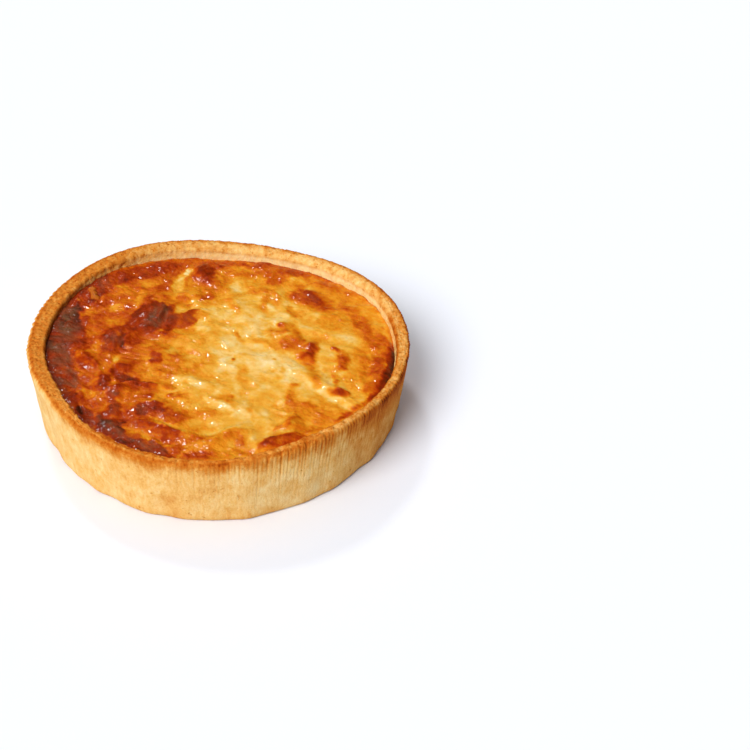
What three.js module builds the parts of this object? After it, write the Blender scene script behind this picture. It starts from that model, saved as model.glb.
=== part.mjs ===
import * as THREE from "three";

// A small deep quiche: an open case of shortcrust pastry, baked in a pleated round tray, and filled with
// set custard under a skin of melted, browned cheese. The case and the filling are its two pieces.
// Millimetres, +Z up. The origin is the centre of the flat underside.

// The pastry case
const RIM_RADIUS = 65; // outside, at the rim
const FOOT_RADIUS = 61.2; // outside, at the foot of the wall
const RIM_HEIGHT = 26.7;
const FLOOR_THICKNESS = 3.6;
const WALL_THICKNESS = 5.3; // at the rim
const WALL_THICKNESS_LOW = 4.6; // where the wall meets the floor
const FOOT_ROUNDING = 2.4;
const CORNER_ROUNDING = 2.2; // inside, between wall and floor
const LIP_DEPTH = 1.0; // the rim's inner edge lies this far below its crest
const LIP_SPREAD = 0.45; // and this far outside the smooth inner wall
const PLEAT_DEPTH = 0.3; // of the marks that the pleated tray leaves, at the rim
const CRAG_HEIGHT = 0.3; // of the rough broken edge
const SMOOTH_SIDE = 208; // the pleats are nearly gone in this direction, in degrees

// The filling
const EDGE_HEIGHT = 22.6; // of the filling's top, where it meets the wall
const DOME_HEIGHT = 0.9; // the middle has risen by this much
const SKIN_ROUNDING = 0.9; // the skin's rounded edge
const GAP = 0.3; // between the filling and the case

// How finely each surface is faceted
const RIM_STEPS = 420;
const WALL_STEPS = 120;
const SKIN_STEPS = 192;
const SKIN_RINGS = 27;

// Slow waves round the quiche: how many crests, how large, and the direction of one crest in degrees
const OVALNESS = [
  [2, 0.2, -56],
  [3, 1.5, 78],
];
const RIM_RISE = [
  [1, 0.4, 202],
  [2, 0.7, 207],
  [3, 0.45, 271],
  [4, 0.85, 136],
];
const FOOT_BUMPS = [
  [13, 0.25, 40],
  [22, 0.2, 100],
  [37, 0.12, 10],
];
const THICKNESS_CHANGE = [
  [1, 0.75, 165],
  [5, 0.25, 30],
  [9, 0.2, 120],
];
const SHOULDER_DROP = [
  [1, 0.5, 250],
  [3, 0.2, 240],
];
const MEAN_SHOULDER_DROP = 1.1; // the rim's outer edge lies this far below its crest
const EDGE_RISE = [
  [1, 0.7, 190],
  [4, 0.25, 80],
];

// Places round the quiche: the direction and half width in degrees, and by how much
const THINNER_WALL = [
  [234, 22, 2.4],
  [277, 22, 2.6],
  [330, 30, 1.3],
];
const RAISED_EDGE = [
  [135, 24, 1.7],
  [275, 30, 1.2],
];

// Folds and blisters of the cheese skin: middle x, y, half length, half width, direction in degrees, height
const FOLDS = [
  // the large burnt blister, its tail and the lump beside it
  [-25, 20, 8.5, 5.5, 60, 1.7],
  [-14, 19, 6, 3, 15, 0.8],
  [-34, 7, 6, 4.5, -60, 1.2],
  // at the back
  [-9, 47, 5.5, 3, 80, 1.1],
  [17, 50, 9, 4, -12, 0.9],
  [-17, 32, 7, 1.8, 5, 0.7],
  [4, 29, 8, 2.2, -70, 0.6],
  [30, 35, 7, 3.6, -35, 1.3],
  // at the right
  [24, 8, 6, 3, -30, 1.1],
  [22, 16, 3, 2.4, 40, 0.8],
  [32, 3, 3.4, 2.4, 70, 0.9],
  [30, -2, 4, 1.6, -35, 0.6],
  [42, -5, 6, 2.2, 80, 0.7],
  [42, -21, 4, 1.8, -25, 0.7],
  [54, -12, 11, 2.2, 66, 0.9],
  // long strands that run down to the front right
  [36, -17, 15, 1.9, -38, 0.8],
  [27, -8, 10, 1.7, -52, 0.6],
  // folds along the front edge
  [25, -49, 9, 3, 24, 1.3],
  [7, -47, 8, 3, 42, 0.9],
  [27, -37, 8, 2.8, 58, 0.9],
  [4, -29, 8, 2, -28, 0.6],
  [-6, -18, 7, 2, -32, 0.5],
  // lumps and ridges of the browned left half
  [-43, -7, 7, 1.8, -42, 0.9],
  [-31, -12, 5, 4, 60, 1.2],
  [-37, -18, 3, 3, 0, 1.0],
  [-32, -25, 4, 3.4, 30, 1.3],
  [-22, -20, 7, 1.8, -8, 0.8],
  [-18, -31, 7, 3, -22, 1.0],
  [-24, -35, 3.6, 2.6, 30, 0.9],
  [-14, -44, 8, 2.6, -32, 1.1],
  [-32, -36, 5, 3, 50, 0.8],
  [-20, -5, 4.5, 3, 70, 0.8],
];

const TURN = 2 * Math.PI;
const radians = THREE.MathUtils.degToRad;
const lerp = THREE.MathUtils.lerp;

function waves(list, angle) {
  return list.reduce(
    (sum, [count, size, direction]) => sum + size * Math.cos(count * angle - radians(direction)),
    0,
  );
}

// -1 to 1: the uneven vertical pleats that the tray presses into the wall
function pleats(angle) {
  const wide = Math.sin(105 * angle + 2.2 * Math.sin(5 * angle + 1) + 1.3 * Math.sin(13 * angle + 2));
  const narrow = Math.sin(140 * angle + 2.5 * Math.sin(11 * angle) + 1.5 * Math.sin(4 * angle + 3));
  return 0.6 * wide + 0.4 * narrow;
}

// -1 to 1: the broken edge of the rim
function crags(angle) {
  const large = Math.sin(37 * angle + 2 * Math.sin(9 * angle));
  const middle = Math.sin(83 * angle + 1.5 * Math.sin(7 * angle + 1));
  const small = Math.sin(131 * angle + 2.4 * Math.sin(10 * angle + 4));
  return 0.45 * large + 0.33 * middle + 0.22 * small;
}

// 1 in a direction given in degrees, falling away to either side
function near(angle, direction, halfWidth) {
  const away = THREE.MathUtils.euclideanModulo(angle - radians(direction) + Math.PI, TURN) - Math.PI;
  return Math.exp(-((away / radians(halfWidth)) ** 2));
}

function atPlaces(places, angle) {
  return places.reduce((sum, [direction, halfWidth, size]) => sum + size * near(angle, direction, halfWidth), 0);
}

function rimHeight(angle) {
  return RIM_HEIGHT + waves(RIM_RISE, angle);
}

function outerRadius(angle, height) {
  const share = height / RIM_HEIGHT;
  const foot = waves(FOOT_BUMPS, angle) * (1 - share);
  return lerp(FOOT_RADIUS, RIM_RADIUS, share) + waves(OVALNESS, angle) + foot;
}

function pleatedRadius(angle, height) {
  const share = height / RIM_HEIGHT;
  const strength = (1 - 0.85 * near(angle, SMOOTH_SIDE, 38)) * (0.2 + 0.8 * share ** 2);
  return outerRadius(angle, height) + PLEAT_DEPTH * strength * pleats(angle);
}

function wallThickness(angle) {
  return WALL_THICKNESS + waves(THICKNESS_CHANGE, angle) - atPlaces(THINNER_WALL, angle);
}

// The smooth inner wall, which the filling follows
function innerRadius(angle, height) {
  const atRim = RIM_RADIUS + waves(OVALNESS, angle) - wallThickness(angle);
  const atFloor = FOOT_RADIUS + waves(OVALNESS, angle) - WALL_THICKNESS_LOW;
  const share = (height - FLOOR_THICKNESS) / (RIM_HEIGHT - FLOOR_THICKNESS);
  return lerp(atFloor, atRim, share);
}

function edgeHeight(angle) {
  return EDGE_HEIGHT + waves(EDGE_RISE, angle) + atPlaces(RAISED_EDGE, angle);
}

// The filling's top at a point
function skinHeight(x, y) {
  const angle = Math.atan2(y, x);
  const share = Math.hypot(x, y) / innerRadius(angle, EDGE_HEIGHT);
  let height = lerp(EDGE_HEIGHT, edgeHeight(angle), share ** 3) + DOME_HEIGHT * (1 - share ** 2);
  for (const [middleX, middleY, halfLength, halfWidth, direction, rise] of FOLDS) {
    const dx = x - middleX;
    const dy = y - middleY;
    const cos = Math.cos(radians(direction));
    const sin = Math.sin(radians(direction));
    const along = (dx * cos + dy * sin) / halfLength;
    const across = (dy * cos - dx * sin) / halfWidth;
    height += rise * Math.exp(-(along ** 2 + across ** 2));
  }
  const ripple = Math.sin(x / 3.1 + 1.7 * Math.sin(y / 6.3)) * Math.sin(y / 3.7 + 1.4 * Math.sin(x / 7.9));
  return height + 0.22 * ripple;
}

// A ring of points round the axis. at(angle) gives the radius and the height there.
function ring(count, at) {
  return Array.from({ length: count }, (_, i) => {
    const angle = (i / count) * TURN;
    const [radius, height] = at(angle);
    return [radius * Math.cos(angle), radius * Math.sin(angle), height];
  });
}

// A closed skin: a pole on the axis, rings out and back round the section, and a pole on the axis again
function loft(firstPole, rings, lastPole) {
  const points = [[0, 0, firstPole], ...rings.flat(), [0, 0, lastPole]];
  const last = points.length - 1;
  const faces = [];
  const starts = [];
  let start = 1;
  for (const r of rings) {
    starts.push(start);
    start += r.length;
  }
  const index = (k, i) => starts[k] + (i % rings[k].length);

  for (let i = 0; i < rings[0].length; i++) faces.push([0, index(0, i + 1), index(0, i)]);
  for (let k = 0; k + 1 < rings.length; k++) {
    const n = rings[k].length;
    const m = rings[k + 1].length;
    let i = 0;
    let j = 0;
    while (i < n || j < m) {
      if ((i + 1) * m <= (j + 1) * n) {
        faces.push([index(k, i), index(k, i + 1), index(k + 1, j)]);
        i++;
      } else {
        faces.push([index(k, i), index(k + 1, j + 1), index(k + 1, j)]);
        j++;
      }
    }
  }
  const end = rings.length - 1;
  for (let i = 0; i < rings[end].length; i++) faces.push([index(end, i), index(end, i + 1), last]);

  const geometry = new THREE.BufferGeometry();
  geometry.setAttribute("position", new THREE.Float32BufferAttribute(points.flat(), 3));
  geometry.setIndex(faces.flat());
  geometry.computeVertexNormals();
  return geometry;
}

function pastryCase() {
  const floorRadius = (angle) => innerRadius(angle, FLOOR_THICKNESS) - CORNER_ROUNDING;
  const wall = (share) => (angle) => {
    const height = rimHeight(angle) * share;
    return [pleatedRadius(angle, height), height];
  };
  const shoulderDrop = (angle) => MEAN_SHOULDER_DROP + waves(SHOULDER_DROP, angle);
  const crest = (share, drop) => (angle) => {
    const outside = lerp(outerRadius(angle, RIM_HEIGHT), pleatedRadius(angle, RIM_HEIGHT), 1 - share);
    const height = rimHeight(angle) - drop * shoulderDrop(angle) + CRAG_HEIGHT * crags(angle + share);
    return [outside - share * wallThickness(angle), height];
  };
  return loft(
    0,
    [
      ring(WALL_STEPS, (a) => [outerRadius(a, 0) - FOOT_ROUNDING, 0]),
      ring(RIM_STEPS, (a) => [pleatedRadius(a, 0) - 0.3 * FOOT_ROUNDING, 0.3 * FOOT_ROUNDING]),
      ring(RIM_STEPS, (a) => [pleatedRadius(a, FOOT_ROUNDING), FOOT_ROUNDING]),
      ring(RIM_STEPS, wall(0.45)),
      ring(RIM_STEPS, wall(0.75)),
      ring(RIM_STEPS, (a) => {
        const height = rimHeight(a) - shoulderDrop(a);
        return [pleatedRadius(a, height), height];
      }),
      ring(RIM_STEPS, crest(0.2, 0.36)),
      ring(RIM_STEPS, crest(0.78, 0)),
      ring(RIM_STEPS, (a) => {
        const height = rimHeight(a) - LIP_DEPTH;
        return [innerRadius(a, height) + LIP_SPREAD * (0.5 + 0.5 * crags(a + 1)), height];
      }),
      ring(WALL_STEPS, (a) => [innerRadius(a, EDGE_HEIGHT), EDGE_HEIGHT]),
      ring(WALL_STEPS, (a) => {
        const height = FLOOR_THICKNESS + CORNER_ROUNDING;
        return [innerRadius(a, height), height];
      }),
      ring(WALL_STEPS, (a) => [floorRadius(a), FLOOR_THICKNESS]),
    ],
    FLOOR_THICKNESS,
  );
}

function filling() {
  const floor = FLOOR_THICKNESS + GAP;
  const side = (angle, height) => innerRadius(angle, height) - GAP;
  const skin = Array.from({ length: SKIN_RINGS }, (_, k) => {
    const share = 1 - k / SKIN_RINGS;
    return ring(Math.max(12, Math.round(SKIN_STEPS * share)), (a) => {
      const radius = (side(a, EDGE_HEIGHT) - SKIN_ROUNDING) * share;
      return [radius, skinHeight(radius * Math.cos(a), radius * Math.sin(a))];
    });
  });
  return loft(
    floor,
    [
      ring(WALL_STEPS, (a) => [side(a, FLOOR_THICKNESS) - CORNER_ROUNDING, floor]),
      ring(WALL_STEPS, (a) => {
        const height = FLOOR_THICKNESS + CORNER_ROUNDING;
        return [side(a, height), height];
      }),
      ring(WALL_STEPS, (a) => {
        const height = edgeHeight(a) - SKIN_ROUNDING;
        return [side(a, height), height];
      }),
      ...skin,
    ],
    skinHeight(0, 0),
  );
}

function piece(name, geometry, color, roughness) {
  const material = new THREE.MeshStandardMaterial({ color, roughness, metalness: 0 });
  const mesh = new THREE.Mesh(geometry, material);
  mesh.name = name;
  return mesh;
}

const quiche = new THREE.Group();
quiche.add(piece("pastry_case", pastryCase(), 0xe6b26a, 0.85));
quiche.add(piece("filling", filling(), 0xe39a2e, 0.35));

export default quiche;
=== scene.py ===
from math import cos, pi, radians, sin

import bpy
import numpy as np
from mathutils import Matrix

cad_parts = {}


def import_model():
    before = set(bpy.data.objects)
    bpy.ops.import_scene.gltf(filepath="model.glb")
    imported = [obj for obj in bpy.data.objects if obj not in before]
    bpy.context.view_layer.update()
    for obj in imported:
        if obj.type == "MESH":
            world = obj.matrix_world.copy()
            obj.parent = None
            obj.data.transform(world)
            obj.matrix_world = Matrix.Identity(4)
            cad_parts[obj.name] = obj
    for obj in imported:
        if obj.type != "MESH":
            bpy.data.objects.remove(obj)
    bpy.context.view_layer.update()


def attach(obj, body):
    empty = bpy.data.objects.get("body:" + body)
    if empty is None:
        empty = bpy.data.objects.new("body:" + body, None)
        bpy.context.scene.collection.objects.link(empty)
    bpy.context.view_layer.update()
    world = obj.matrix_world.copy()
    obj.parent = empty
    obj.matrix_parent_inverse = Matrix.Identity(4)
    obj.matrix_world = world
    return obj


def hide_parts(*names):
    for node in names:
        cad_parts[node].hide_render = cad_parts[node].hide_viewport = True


# A small deep quiche in a pleated shortcrust case, under a skin of melted, browned cheese.
# Shapes are worked out in millimetres, as in the frame, and meshes are made in metres. A call of noise,
# fractal or crumbs gives the place, the width of the lumps and a seed, and of fractal how many octaves.
MM = 0.001
TURN = 2 * pi

# The pastry case, with the frame's sizes
RIM_RADIUS = 65.0
FOOT_RADIUS = 61.2
RIM_HEIGHT = 26.7
FLOOR_THICKNESS = 3.6
WALL_THICKNESS = 5.3
WALL_THICKNESS_LOW = 4.6
FOOT_ROUNDING = 2.4
CORNER_ROUNDING = 2.2
LIP_DEPTH = 1.0
PLEAT_DEPTH = 0.3
CRAG_HEIGHT = 0.3
MEAN_SHOULDER_DROP = 1.1
SMOOTH_SIDE = 208

# The filling, with the frame's sizes
EDGE_HEIGHT = 22.6
DOME_HEIGHT = 0.9
GAP = 0.3
FLOW_DIRECTION = -45  # the way the cheese ran, in degrees
SHRED_REACH = 57  # how far from the middle the shreds of cheese lie

# What both finishes share: hardly any shine, and light that spreads inside, red furthest, by so many metres
FOOD = {"Specular IOR Level": 0.05, "Subsurface Radius": (1.0, 0.5, 0.2), "Subsurface Scale": 0.0012}

# The light and the camera, with the camera's place in metres and its angles in degrees
FLOOR_WHITE = (0.97 * 0.84, 0.84, 1.08 * 0.84, 1)
SKY_AT_HORIZON = 0.12
SKY_OVERHEAD = 0.76
CAMERA_PLACE = (0.05359, -0.60569, 0.46046)
CAMERA_ELEVATION = 36.35
CAMERA_ROLL = 1.57

# Slow waves round the quiche: how many crests, how large, and the direction of one crest in degrees
OVALNESS = [(2, 0.2, -56), (3, 1.5, 78)]
RIM_RISE = [(1, 0.4, 202), (2, 0.7, 207), (3, 0.45, 271), (4, 0.85, 136)]
FOOT_BUMPS = [(13, 0.25, 40), (22, 0.2, 100), (37, 0.12, 10)]
THICKNESS_CHANGE = [(1, 0.75, 165), (5, 0.25, 30), (9, 0.2, 120)]
SHOULDER_DROP = [(1, 0.5, 250), (3, 0.2, 240)]
EDGE_RISE = [(1, 0.7, 190), (4, 0.25, 80)]

# Places round the quiche: the direction and half width in degrees, and by how much
THINNER_WALL = [(234, 22, 2.4), (277, 22, 2.6), (330, 30, 1.3)]
RAISED_EDGE = [(135, 24, 1.7), (275, 30, 1.2)]

# How finely the two pieces are meshed
CASE_STEPS = 1800
HIDDEN_STEPS = 240
FOOT_RINGS = 4
WALL_RINGS = 18
RIM_RINGS = 20
INSIDE_RINGS = 10
SKIN_SPACING = 0.37

# The rows below start with an oval on the skin: middle x, y, half length, half width, direction in degrees

# Folds and blisters of the cheese skin, with the height
FOLDS = [
    # the large burnt blister, its tail and the lump beside it
    (-25, 20, 8.5, 5.5, 60, 1.7), (-14, 19, 6, 3, 15, 0.8), (-34, 7, 6, 4.5, -60, 1.2),
    # at the back
    (-9, 47, 5.5, 3, 80, 1.1), (17, 50, 9, 4, -12, 0.9), (-17, 32, 7, 1.8, 5, 0.7),
    (4, 29, 8, 2.2, -70, 0.6), (30, 35, 7, 3.6, -35, 0.5),
    # at the right
    (24, 8, 6, 3, -30, 1.1), (22, 16, 3, 2.4, 40, 0.8), (32, 3, 3.4, 2.4, 70, 0.9),
    (30, -2, 4, 1.6, -35, 0.6), (42, -5, 6, 2.2, 80, 0.7), (42, -21, 4, 1.8, -25, 0.7),
    (54, -12, 11, 2.2, 66, 0.9),
    # strands that run down to the front right
    (37, -18, 12, 2.2, -38, 0.7), (28, -10, 7, 1.9, -52, 0.3),
    # along the front edge
    (25, -49.5, 8.4, 3.2, 24, 1.6), (7, -47, 8, 3, 42, 0.9), (27, -37, 8, 2.8, 58, 0.9),
    (4, -29, 8, 2, -28, 0.6), (-6, -18, 7, 2, -32, 0.5),
    # the browned left half
    (-43, -7, 7, 1.8, -42, 0.9), (-31, -12, 5, 4, 60, 1.2), (-37, -18, 3, 3, 0, 1),
    (-32, -25, 4, 3.4, 30, 1.3), (-22, -20, 7, 1.8, -8, 0.8), (-18, -31, 7, 3, -22, 1),
    (-24, -35, 3.6, 2.6, 30, 0.9), (-14, -44, 8, 2.6, -32, 1.1), (-32, -36, 5, 3, 50, 0.8),
    (-20, -5, 4.5, 3, 70, 0.8),
]

# Patches laid one over another, with the browning from 0, cream, to 100, charred, and the softness of the
# patch's edge where it isn't 50
# A few patches, marked below, are painted shade or painted highlights rather than browning.
PATCHES = [
    # wide areas
    (-40, 0, 58, 24, 90, 54, 40), (-22, -44, 34, 16, -22, 52, 40), (-26, 42, 34, 17, 12, 52, 45),
    (25, 46, 30, 10, -18, 46, 45), (44, 12, 30, 13, 105, 30), (14, 8, 27, 22, 0, 15),
    (20, -8, 24, 15, -30, 9), (18, -20, 16, 7, -20, 18), (12, -33, 18, 10, -12, 22),
    (-7, -20, 10, 8, -20, 27), (37, -22, 14, 5, -32, 13), (32, -36, 12, 8, 40, 38, 40),
    (2, -51, 20, 7, 4, 38, 40), (-12, 8, 12, 8, 0, 34), (-14, -8, 12, 8, 0, 40),
    # the charred left edge
    (-54, 14, 15, 7, 92, 90, 35), (-52, 15, 8, 3.6, 96, 98), (-50, 7, 7, 4.4, 115, 84, 40),
    (-54, 0, 10, 6, 98, 84, 35), (-48, 2, 5, 4, 110, 73), (-57, -4, 9, 2.2, 100, 93),
    (-52, -12, 10, 4.6, 108, 79, 35), (-49, -19, 8, 4, 112, 78, 40), (-46.5, -27, 7, 2.8, 112, 75, 40),
    # The narrow patch at -51, 34 is a painted shadow under the rim.
    (-55, 23, 5, 3.2, 85, 82, 45), (-51, 34, 5, 2.4, 52, 88, 40), (-49, 33, 6, 4.4, 60, 82, 40),
    (-43, 35, 6, 4.2, 75, 78, 45), (-46, 27, 5, 3, -70, 69), (-42.5, 38, 3, 2.4, 60, 82),
    (-45, 39, 5, 2.6, 40, 80, 45), (-39, 39, 4, 3, 40, 73),
    # back edge
    (-34, 43, 8, 3.4, 25, 72, 45), (-28, 45, 7, 4, 24, 74, 40), (-26, 49, 7, 2, 22, 71),
    (-20, 50, 6, 3.2, 12, 65), (-19, 45.5, 3.4, 2.4, 20, 58), (-12, 53, 4, 2.4, 6, 54),
    (-8, 47, 6.5, 3.4, 84, 80, 35), (-5, 53, 4, 3, 4, 67), (-7, 40, 4, 3, 60, 56), (2, 54, 7, 3, 0, 56),
    (20, 52, 13, 4.5, -6, 72, 40), (16, 46.6, 5.5, 4.4, 75, 67, 40), (30, 50, 6, 3, -30, 62),
    (6, 48.6, 7, 1.8, 12, 46), (3, 46.6, 3.4, 1, 25, 50), (4, 50, 3.4, 2, 0, 38), (-3, 38, 2.4, 6, 0, 46),
    # the large burnt blister, its tail and the lump beside it
    (-24.2, 18.2, 10.5, 6.4, 58, 80, 25), (-27.4, 19.4, 4.2, 2.6, 60, 84), (-22, 18, 6.5, 2.2, 72, 87),
    (-25.5, 25, 3, 2.4, 60, 87), (-12, 20.6, 4, 1.2, 30, 74), (-18.2, 20.5, 5, 1.3, 108, 90, 40),
    (-20.5, 13, 3, 2, 40, 82), (-27, 27, 2.6, 2, 70, 64), (-29.4, 12, 5, 2.8, 45, 73, 40),
    (-26, 8.4, 3, 1.8, 20, 66), (-33, -0.5, 2.6, 2, 90, 73), (-36, 4.5, 6.6, 4.8, 65, 74, 35),
    (-34.6, 6.6, 1.6, 0.8, 110, 60), (-32.6, 6.4, 1, 0.8, 90, 92), (-33, 3.6, 1.8, 0.9, 100, 85),
    (-32.5, 1.3, 1.3, 0.8, 110, 99), (-28.8, 4.6, 3.4, 2.8, 30, 70, 45), (-13.5, 16.5, 5.6, 4.2, 12, 66, 35),
    (-9.5, 21.4, 3.2, 1.8, 35, 69, 40), (-22, 7.6, 4.5, 1.8, 18, 60), (-18.6, 30.6, 5.6, 0.9, -4, 62, 45),
    (-13.4, 29.2, 2, 0.8, -50, 56), (-22.6, 29.6, 1.4, 2.2, 0, 48), (-18.4, 25, 2, 1.3, 0, 56),
    (-18, 14.5, 4.6, 2.2, 90, 80, 45), (-18, 27.6, 3, 1.4, 0, 48),
    # lighter areas of the left half
    (-36.6, 22.4, 2.6, 2.4, 30, 33, 55), (-41, 25.5, 3.4, 1.8, 60, 65), (-29.3, 28, 5.5, 1.6, 80, 38),
    (-35.4, 33, 3.6, 2.6, -20, 41), (-27.6, 38, 3.6, 2.4, 0, 35), (-22, 36, 3.4, 1.9, 80, 58, 45),
    # The patch at -14, 47.3 is a painted highlight where fat glints.
    (-17, 37.5, 9, 1.9, 84, 26), (-14, 47.3, 2.6, 1.3, 80, 2, 40), (-12.6, 41, 3.4, 1.6, 80, 40),
    (-12, 34, 4.5, 3, 30, 34), (-6, 31.8, 2.4, 2, 40, 60, 45), (-13, 26.6, 2.4, 1.6, 20, 44),
    (-7, 26.6, 3, 2, 40, 36), (-41, 13.6, 5, 2.2, 105, 59), (-46, 20, 4, 1.5, 100, 40),
    (-43.4, 7, 8, 1.5, 108, 56), (-42, 3, 3, 2, 100, 69), (-37, 14.8, 2.6, 2.2, 60, 46),
    (-34, 13, 2.4, 1.6, 30, 50), (-36, 18.6, 3, 1.5, 10, 61), (-40.4, -1, 5, 2, 105, 48),
    (-45.5, 0.5, 2.6, 2, 110, 70), (-37, -1.5, 3, 2.2, 40, 66), (-11, 4.6, 4.6, 3, 10, 28),
    (-6, 14, 6.5, 2.2, 82, 20), (-7, 20.4, 3, 2, 60, 38), (-1, 29, 3, 1.6, 30, 34),
    (-17.5, 6.6, 3, 1.6, 10, 47), (-22.5, 1.8, 3.6, 1.6, -5, 41),
    # front left
    (-42, -8, 5.6, 1.4, -52, 77, 40), (-44.6, -9, 4, 1.8, -55, 62), (-43, -17, 6, 2.6, 105, 53),
    (-43, -20.5, 4, 2, 110, 65), (-39, -7, 3, 2, 60, 55), (-36.6, -13.6, 3.6, 1.9, 100, 52, 45),
    (-36.6, -20.6, 3.8, 1.7, 85, 81, 35), (-34, -23.4, 2.4, 1.6, -50, 77, 45),
    (-31, -12.6, 4.4, 3.4, 60, 71, 25), (-32.6, -15, 2.4, 1.5, 100, 80), (-27.6, -9, 3.4, 1.3, 25, 56, 40),
    (-29.2, -18, 4.2, 2, -6, 84, 25), (-28.2, -18.6, 2.2, 1.2, 20, 94), (-23.6, -20.8, 5, 1.5, -10, 74, 40),
    (-33.8, -7.4, 2.8, 1.2, 80, 30), (-32, -26, 4.6, 2.8, 58, 71, 35), (-33.4, -21, 2.4, 1, 85, 42),
    (-27, -26, 3, 5, 10, 57), (-40, -26.2, 5.5, 1.8, -28, 42), (-37.5, -33.4, 5, 2.4, -18, 56),
    (-41, -31, 4, 1.4, -40, 64), (-36, -36.4, 2, 1.6, 80, 49), (-20.5, -6, 3.4, 2.1, 105, 70, 35),
    (-13.5, -4, 2.8, 1.2, 10, 52, 45), (-16.6, -13.4, 4.2, 2, 90, 49, 35), (-22.5, -14.6, 3.4, 2.6, -20, 34),
    # The patch at -10, -17.5 is partly a painted highlight, on a pale streak that glints.
    (-6, -8.6, 3, 2, 40, 40), (-9, -4, 2.4, 2, 0, 18), (-10, -17.5, 4, 1.6, 0, 20),
    (-16.4, -26, 2.8, 2.6, 60, 31), (-22, -26.6, 3, 1.6, -20, 56), (-31.4, -34, 4.2, 1.9, 95, 78, 35),
    (-40, -38.5, 5.5, 2.6, -55, 82, 35), (-42.3, -35.6, 2.2, 0.8, -66, 97), (-34, -39, 3, 2, 60, 73, 45),
    (-31, -45, 6, 3.6, -40, 86, 30), (-29, -41, 2.6, 2.4, 0, 78, 45), (-25.5, -50, 6, 3.2, -40, 82, 30),
    (-17.6, -54.6, 6, 3.6, -28, 72, 14), (-18, -57, 4.6, 1.3, -20, 82), (-18.2, -34, 5.4, 2.6, -24, 76, 30),
    (-16, -35.2, 2.6, 1.4, -30, 85), (-28, -38.4, 4, 2, -20, 74, 45), (-12, -26.5, 3, 2, 0, 45),
    (-22.6, -35.6, 2.6, 1.8, 100, 85, 40), (-26, -36.6, 2.2, 1.6, 80, 69), (-27, -32.6, 1.6, 3, 0, 50),
    (-10.6, -37.2, 4.6, 1.7, -18, 60, 40), (-17.2, -38.2, 3, 1.4, -10, 42), (-22, -41.6, 4, 1.8, -30, 58),
    (-21.6, -47, 4.4, 1.5, -30, 39), (-14, -45, 6.5, 1.5, -22, 77, 30),
    (-13.5, -46.8, 5.4, 1.4, -22, 68, 40), (-12.6, -42.6, 4.4, 1.2, -26, 22),
    (-11.6, -49.6, 3.2, 2.4, 0, 68), (-13.6, -53, 3.4, 0.7, -48, 44), (-15, -58.4, 8, 2, -15, 80, 40),
    (-9, -54.6, 2.6, 2.6, 20, 56), (-6, -44, 2.6, 3, 0, 38), (-5.6, -50.6, 2, 3, 0, 45),
    # front
    (-2, -58.2, 4.8, 1.8, 0, 68, 40), (-1, -47.5, 4, 2.4, 15, 48), (-2, -41, 5, 2.6, -10, 24),
    (2.5, -41.5, 3, 1.8, 0, 13), (0, -35.4, 4.6, 2, -15, 41), (5, -28, 3.4, 1.8, -30, 37),
    # The strand at 4, -31.4 is a pale strand of cheese with a painted highlight along it.
    (4, -31.4, 5, 0.8, -38, 10), (14, -56.4, 2.4, 1.2, 5, 62, 45), (8, -42, 6, 1.6, 40, 14),
    (6.6, -48, 5.4, 2.2, 48, 40, 25), (7.4, -48, 3, 1.2, 48, 52), (10.5, -50, 4, 1.4, -60, 46),
    (16.4, -48.6, 6, 2.8, 78, 22), (5, -53, 4, 1.4, 0, 36), (24.8, -49.8, 8.2, 3.1, 24, 68, 12),
    (18.8, -51.4, 3, 0.9, 62, 82, 30), (25.2, -47.5, 5, 0.7, 18, 78, 30), (20, -54.8, 2.6, 1.3, 26, 46, 30),
    (24.6, -41, 5, 1.6, 52, 57, 25), (28.4, -34, 3.4, 1.2, 95, 46), (26.6, -24.6, 5, 1.7, 95, 42),
    (25.6, -28, 3.4, 1.5, 95, 52, 45), (31, -29.4, 4.4, 1, -4, 47), (36, -38.6, 3.4, 1.6, 38, 39),
    (46, -30.6, 5, 1.4, 48, 50), (33, -34.4, 3.6, 2, 10, 31), (43.8, -34.2, 3.2, 0.9, 48, 68, 40),
    (5, -26.4, 2, 1.5, 20, 47),
    # right
    (50, -6, 8, 2.6, 96, 42, 45), (54.6, -6, 10, 2.6, 80, 60, 40), (52.4, -17.6, 4.6, 1.5, 62, 57, 40),
    (42.4, -3.4, 3.8, 2, 92, 56, 40), (42.6, -8, 1.8, 1.4, 0, 55), (40.6, -14, 5, 0.9, 96, 44),
    (42.4, -22, 3.6, 1.6, -14, 63, 35), (45.6, -14, 4, 1.8, 90, 31), (47, -2, 4, 1.2, 90, 26),
    (40, 2.2, 1.9, 1, -20, 54, 45), (49.4, 16.4, 5.4, 2.6, 112, 58, 40), (44, 26, 5, 2.6, 125, 41),
    (52, 8, 5, 3, 115, 53, 45), (55.4, 10, 4, 1.6, 110, 62), (44, 8.6, 5, 3, -10, 14),
    (37, 19.4, 8, 4, -15, 29), (59.4, 0, 6.4, 2, 94, 93, 35), (57.6, -10.6, 7, 1.3, 74, 90, 40),
    (54, -20.4, 7, 1, 60, 84, 45),
    # back right
    (31, 32.4, 10.5, 4.4, -42, 52, 40), (29.6, 39, 3, 2.4, 40, 30), (30, 33.4, 7.5, 2.9, -42, 71, 40),
    (31.8, 32.4, 2.6, 1.2, -42, 90), (26.8, 34.6, 1.2, 1.1, 0, 88), (35, 44, 7, 3, -55, 47, 45),
    (24.6, 44.6, 2.6, 1.8, 0, 26), (11.4, 37.4, 4, 2.8, -10, 45, 40), (14.4, 32.4, 3, 1.8, 95, 47),
    (14, 26.6, 2.8, 1.6, 95, 40), (24, 23.6, 4.6, 1.5, 108, 45, 45), (28, 22, 4, 1.4, 100, 32),
    (3, 27.4, 5.4, 1.2, 118, 37), (6.4, 44, 3.4, 1.6, 5, 27), (18, 32, 4, 2, 100, 40),
    (4.6, 38, 3.4, 3, 0, 10),
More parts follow.
